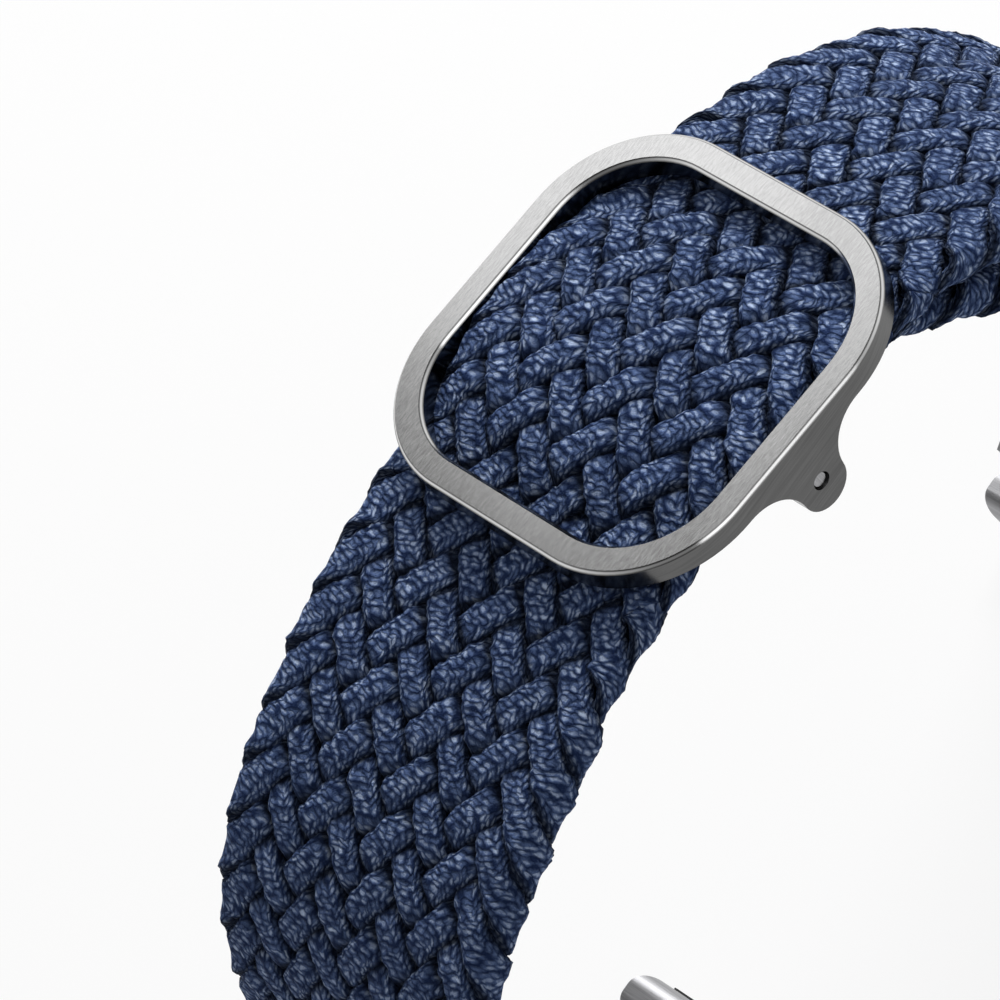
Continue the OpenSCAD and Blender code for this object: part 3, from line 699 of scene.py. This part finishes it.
def brushed_material(name, colour, roughness, direction, depth, brush=PLAIN, face=None, top=0.0):
    """Metal with fine straight scratches along a direction. Where face is given, only the surface
    that looks that way, at top along it, is brushed so: its chamfers are polished, with a painted
    highlight line between two painted dark lines, and its walls are brushed round their length
    and painted darker, as a dark reflection of the band."""
    n = Surface(name, {"Metallic": 1})
    coord = n.add("ShaderNodeTexCoord")
    place = coord.outputs["Object"]
    turn = Vector(direction).normalized().to_track_quat("X", "Z").inverted().to_euler()
    mapping = n.add("ShaderNodeMapping", vector_type="POINT")
    mapping.inputs["Rotation"].default_value = turn
    n.link(place, mapping.inputs["Vector"])

    def scratches(vector, scale):
        return n.noise(n.with_vector("MULTIPLY", vector, scale), *SCRATCH_NOISE)

    grain = scratches(mapping.outputs[0], brush["scale"])
    rough_at, tint = roughness, None
    if face:
        facing = n.with_vector("DOT_PRODUCT", coord.outputs["Normal"], face, "Value")
        on_face = n.math("MULTIPLY_ADD", facing, *ON_FACE, clamp=True)
        on_wall = n.math("MULTIPLY_ADD", facing, *ON_WALL, clamp=True)
        polished = n.math("SUBTRACT", 1.0, n.math("ADD", on_face, on_wall))
        wall_grain = n.math("MULTIPLY", scratches(place, WALL_SCALE), on_wall)
        grain = n.math("ADD", n.math("MULTIPLY", grain, on_face), wall_grain)
        grain = n.math("MULTIPLY_ADD", polished, POLISHED_GRAIN, grain)
        rough_at = n.math("MULTIPLY_ADD", polished, CHAMFER_ROUGH - roughness, roughness)
        # the chamfer's painted highlight line and dark lines, by height along the face, and the walls'
        # painted dark reflection
        height = n.with_vector("DOT_PRODUCT", place, face, "Value")
        down = n.math("MULTIPLY_ADD", height, -1 / RING_BEVEL, top / RING_BEVEL)
        line = n.math("MULTIPLY_ADD", n.ramp(down, CHAMFER_PAINTED_LINES), CHAMFER_PAINTED_GAIN, -1.0)
        tint = n.math("MULTIPLY_ADD", on_wall, WALL_PAINTED_REFLECTION - 1, 1.0)
        tint = n.math("ADD", tint, n.math("MULTIPLY", polished, line))
    cloud = n.noise(place, CLOUD_SCALE)
    mark = n.math("MULTIPLY_ADD", grain, GRAIN_SHARE, n.math("MULTIPLY", cloud, CLOUD_SHARE))
    shares = (1 - brush["contrast"], 1 + brush["contrast"])
    shown = n.ramp(mark, [(at, [c * k for c in colour]) for at, k in zip(brush["marks"], shares)])
    if tint is not None:
        shown = n.scaled(shown, tint)
    n.link(shown, n.shader.inputs["Base Color"])
    lowest = n.math("ADD", rough_at, -ROUGH_SPREAD / 2)
    n.link(n.math("MULTIPLY_ADD", mark, ROUGH_SPREAD, lowest), n.shader.inputs["Roughness"])
    n.bump(grain, depth)
    return n.material


PAD_SCALE, PAD_BUMP = 6000, 0.02 * MM
PAD_STOPS = [(0.3, (0.012, 0.012, 0.013)), (0.7, (0.03, 0.03, 0.032))]


def pad_material(name):
    """Black rubber with a fine grain."""
    n = Surface(name, {"Roughness": 0.8})
    grain = n.noise(n.add("ShaderNodeTexCoord").outputs["Object"], PAD_SCALE)
    n.link(n.ramp(grain, PAD_STOPS), n.shader.inputs["Base Color"])
    n.bump(grain, PAD_BUMP)
    return n.material


# ---------------------------------------------------------------- the band
main_band = Band(main_run(), zero_x=0)
return_band = Band(return_run(), s_from=main_band.last)
tail_band = Band(tail_run())

# the yarn's colours: the dark between loops, partly painted shade, its body, and a painted glint
navy_yarn = yarn_material("navy_yarn", (0.014, 0.028, 0.085), (0.1, 0.153, 0.31), (0.60, 0.72, 0.96))

detail = dict(steps=18, sides=16)
window = (RING_S - WINDOW_HALF, RING_S + WINDOW_HALF)
beside = [(main_band.first, window[0]), (window[1], main_band.last)]
main_shape = dict(width=MAIN_WIDTH, rise=MAIN_RISE, swell=window_swell)
braid_main = braid("braid_main", main_band, beside, **main_shape, **detail)
braid_window = braid("braid_window", main_band, [window], **main_shape, **detail)
r0, r1 = return_band.first, return_band.last
braid_return = braid(
    "braid_return", return_band, [(r0, r1)],
    width=[(r0, 22), (r0 + 12, 23.4), (r1 - 12, 23.2), (r1 - 2, 21)],
    rise=[(r0, 0), (r0 + 6, 0.1), (r0 + 18, 0.9), (r1 - 16, 1.4), (r1 - 10, 1.2), (r1, 0)],
    **detail,
)
tail_width = [(0, TAIL_W), (1, TAIL_W)]
braid_tail = braid("braid_tail", tail_band, [(0, tail_band.last)], tail_width, seed=9, **detail)
for piece, node in (
    (braid_main, "strap_main"),
    (braid_window, "strap_main"),
    (braid_return, "strap_return"),
    (braid_tail, "strap_tail"),
):
    piece.data.materials.append(navy_yarn)
    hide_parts(node)
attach(braid_main, "strap")
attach(braid_window, "strap")
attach(braid_tail, "buckle")


# ---------------------------------------------------------------- stitches
# a stitch's length, the distance to the next one, the points along it, and how deep its ends sink
STITCH_L, STITCH_PITCH, STITCH_POINTS, STITCH_SINK = 1.5, 2.2, 25, 0.35
# a ply's radius, distance from the thread's middle, turns from the stitch's middle to its end and
# sides, and the squared share of its radius that is left at its end
PLY_R, PLY_OFF, PLY_TURNS, PLY_SIDES, PLY_END = 0.1, 0.09, 1.2, 8, 0.05
# rows of stitches, as shares of the sewn length and of the fold's length, and how far the fold's
# row stands off the fold
END_ROWS, TAIL_ROW = (0.3, 0.7), 0.82
TAIL_ROW_OFF = 0.05


def stitch_rows(name, rows, body, node):
    """Rows of twisted two-ply stitches. A row is (middle x, middle z, outward x, outward z, width)."""
    tubes = []
    v = np.linspace(0, 2 * math.pi, PLY_SIDES + 1)[:-1]
    along = np.linspace(-1, 1, STITCH_POINTS)
    sink = STITCH_SINK * np.abs(along) ** 4
    r = PLY_R * np.sqrt(np.clip(1 + PLY_END - along**8, 0, 1))
    for x, z, nx, nz, width in rows:
        ring = [nx * np.sin(v) - nz * np.cos(v), 0 * v, nz * np.sin(v) + nx * np.cos(v)]
        ring = np.stack(ring, -1)
        n = math.floor((width - STITCH_L) / STITCH_PITCH)
        for i in range(n + 1):
            y = (i - n / 2) * STITCH_PITCH + along * STITCH_L / 2
            for ply in (0, 1):
                turn = along * PLY_TURNS * 2 * math.pi + ply * math.pi
                up = PLY_OFF * np.sin(turn) - sink
                out = PLY_OFF * np.cos(turn)
                centre = np.c_[x + nx * up - nz * out, y, z + nz * up + nx * out]
                rings = centre[:, None] + ring[None] * r[:, None, None]
                length = (along + 1) * STITCH_L
                tubes.append((rings * MM, length, np.ones(STITCH_POINTS), EVEN_TONE))
    piece = tubes_mesh(name, tubes)
    piece.data.materials.append(thread)
    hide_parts(node)
    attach(piece, body)


# the thread's colours: the dark between loops, partly painted shade, its body, and a painted glint
thread = yarn_material("thread_yarn", (0.004, 0.007, 0.02), (0.018, 0.027, 0.07), (0.10, 0.13, 0.24))
rows = []
for share in END_ROWS:
    out = unit(leg_angles(bar_a_x)[1] + math.degrees(share * SEWN_L / inner_mid))
    face = side_centre + (inner_mid - BAND_T / 2) * out
    rows.append((-face[0], face[1], out[0], -out[1], BAND_W - BAND_T))
stitch_rows("stitches_end", rows, "strap", "stitching_end")
out = unit(buckle_bearing - tail_a * TAIL_ROW)
face = top_centre + (tail_mid - TAIL_T - GAP / 2 - TAIL_T / 2 - TAIL_ROW_OFF) * out
stitch_rows("stitches_tail", [(*face, *(-out), TAIL_W - TAIL_T)], "buckle", "stitching_tail")

# ---------------------------------------------------------------- materials of the CAD nodes
RING_FACE = (math.sin(math.radians(BUCKLE_A)), 0, math.cos(math.radians(BUCKLE_A)))
RING_LENGTH = (RING_FACE[2], 0, -RING_FACE[0])
ALONG_Y, ALONG_Z = (0, 1, 0), (0, 0, 1)
SHALLOW, DEEPER = 0.001 * MM, 0.004 * MM
ring_top = max(v.co.dot(Vector(RING_FACE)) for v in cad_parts["buckle_ring"].data.vertices)
ring_steel = brushed_material(
    "ring_steel", (0.23, 0.23, 0.23), 0.2, RING_LENGTH, SHALLOW, FINE, RING_FACE, ring_top
)
adapter_steel = brushed_material("adapter_steel", (0.33, 0.33, 0.34), 0.34, ALONG_Y, DEEPER)
bright_steel = brushed_material("bright_steel", (0.55, 0.55, 0.56), 0.2, ALONG_Y, SHALLOW)
pin_steel = brushed_material("pin_steel", (0.3, 0.3, 0.31), 0.25, ALONG_Z, SHALLOW)
soft_pad = pad_material("soft_pad")

for node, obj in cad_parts.items():
    if node.startswith(("strap", "stitching")):
        continue
    if node.endswith("pads"):
        material = soft_pad
    elif node == "buckle_ring":
        material = ring_steel
    elif node == "cross_pin":
        material = pin_steel
    elif node.endswith(("body", "cover")):
        material = adapter_steel
    else:
        material = bright_steel
    obj.data.materials.clear()
    obj.data.materials.append(material)

# ---------------------------------------------------------------- floor and light
WHITE = (1, 1, 1, 1)
FLOOR_SIZE, FLOOR_Z = 6, -0.2 * MM
# the floor's own white, and the share of its glow that camera, mirror and glass rays meet
FLOOR_WHITE, FLOOR_GLOW = (0.93, 0.93, 0.93, 1), 0.86
# what the world lights with, and what is seen of it: white at the horizon, where a camera looks,
# and a softer grey overhead, where the metal looks
WORLD_LIGHT = 0.24
WORLD_STOPS = [(0.35, (1, 1, 1)), (0.7, (0.18, 0.18, 0.18))]


def seen_mix(n, hidden, shown, share=1.0):
    """Mixes two shaders: camera, mirror and glass rays meet a share of the second."""
    rays = n.add("ShaderNodeLightPath").outputs
    seen_by = n.math("MAXIMUM", rays["Is Camera Ray"], rays["Is Glossy Ray"])
    seen_by = n.math("MAXIMUM", seen_by, rays["Is Transmission Ray"])
    mix = n.add("ShaderNodeMixShader")
    for value, socket in zip((n.math("MULTIPLY", seen_by, share), hidden, shown), mix.inputs):
        n.link(value, socket)
    return mix.outputs[0]


bpy.ops.mesh.primitive_plane_add(size=FLOOR_SIZE, location=(0, 0, FLOOR_Z))
floor = bpy.context.object
floor.name = "floor"
n = Surface("floor", {"Base Color": FLOOR_WHITE, "Roughness": 0.9, "Specular IOR Level": 0.1})
glow = n.add("ShaderNodeEmission")
glow.inputs["Color"].default_value = WHITE
glow.inputs["Strength"].default_value = 1
mixed = seen_mix(n, n.shader.outputs[0], glow.outputs[0], FLOOR_GLOW)
n.link(mixed, n.tree.nodes["Material Output"].inputs["Surface"])
floor.data.materials.append(n.material)


def area(name, at, towards, size, power):
    """A rectangular lamp that looks from one place towards another."""
    data = bpy.data.lights.new(name, "AREA")
    data.shape = "RECTANGLE"
    data.size, data.size_y = size
    data.energy = power
    lamp = bpy.data.objects.new(name, data)
    bpy.context.scene.collection.objects.link(lamp)
    lamp.location = at
    lamp.rotation_mode = "QUATERNION"
    lamp.rotation_quaternion = (towards - at).to_track_quat("-Z", "Y")
    lamp.visible_camera = False
    return lamp


CENTRE = Vector((0, 0, 0.03))
area("key", CENTRE + Vector((0.8, 0.25, 0.55)), CENTRE, size=(0.3, 0.3), power=3.8)
area("top", CENTRE + Vector((0.1, 0.2, 1.0)), CENTRE, size=(0.5, 0.5), power=1.2)
# a near panel that the ring's upper face mirrors towards the camera on its far side only: how far
# off it stands along the mirrored view, how far down behind and to the right, and its roll
RING_AT = Vector((0.006, 0, 0.054))
MIRRORED = Vector((0.244, 0.65, 0.722)).normalized()
LOW_BACK = Vector((0, 0.743, -0.669))
PANEL_OFF, PANEL_DOWN, PANEL_SHIFT, PANEL_ROLL = 0.17, 0.022, Vector((0.137, 0, 0)), -4
panel_at = RING_AT + MIRRORED * PANEL_OFF + LOW_BACK * PANEL_DOWN + PANEL_SHIFT
panel = area("panel", panel_at, panel_at - MIRRORED, size=(0.26, 0.15), power=0.39)
panel_roll = Quaternion((0, 0, 1), math.radians(PANEL_ROLL))
panel.rotation_quaternion = panel.rotation_quaternion @ panel_roll
# and one low in front, for the chamfers
FRONT, FRONT_OFF = Vector((0.088, -0.754, 0.649)), 0.35
area("front", RING_AT + FRONT * FRONT_OFF, RING_AT, size=(0.25, 0.06), power=0.08)

world = bpy.data.worlds.new("world")
bpy.context.scene.world = world
world.use_nodes = True
n = Nodes(world.node_tree)
lit = n.tree.nodes["Background"]
lit.inputs["Color"].default_value = WHITE
lit.inputs["Strength"].default_value = WORLD_LIGHT
seen = n.add("ShaderNodeBackground")
seen.inputs["Strength"].default_value = 1
_, _, upward = n.separate(n.add("ShaderNodeTexCoord").outputs["Generated"])
n.link(n.ramp(upward, WORLD_STOPS), seen.inputs["Color"])
mixed = seen_mix(n, lit.outputs[0], seen.outputs[0])
n.link(mixed, n.tree.nodes["World Output"].inputs["Surface"])
bpy.context.scene.view_settings.view_transform = "Standard"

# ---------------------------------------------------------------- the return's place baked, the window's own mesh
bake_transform(braid_return)
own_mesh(braid_window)
